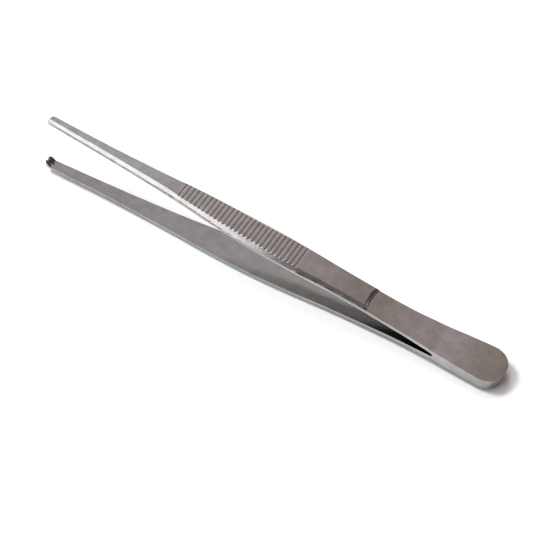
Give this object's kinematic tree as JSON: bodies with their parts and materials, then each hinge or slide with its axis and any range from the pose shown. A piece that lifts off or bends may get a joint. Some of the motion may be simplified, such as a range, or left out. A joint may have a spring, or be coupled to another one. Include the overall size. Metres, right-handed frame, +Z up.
{
  "type": "thumb forceps",
  "caption": "Toothed thumb forceps in satin stainless steel: two bevelled spring arms with ridged grips, joined at a rounded paddle heel, one tooth meeting two.",
  "frame": {"origin": "middle of the overall box at the height of the surface it lies on", "axes": "+X along the forceps from the tips to the heel, +Y across the arms, +Z up"},
  "size_m": [0.1454, 0.0122, 0.0211],
  "materials": {
    "steel": "satin, bright on the bevelled edges"
  },
  "bodies": {
    "root": {"upper_arm": "steel", "lower_arm": "steel"}
  },
  "joints": []
}
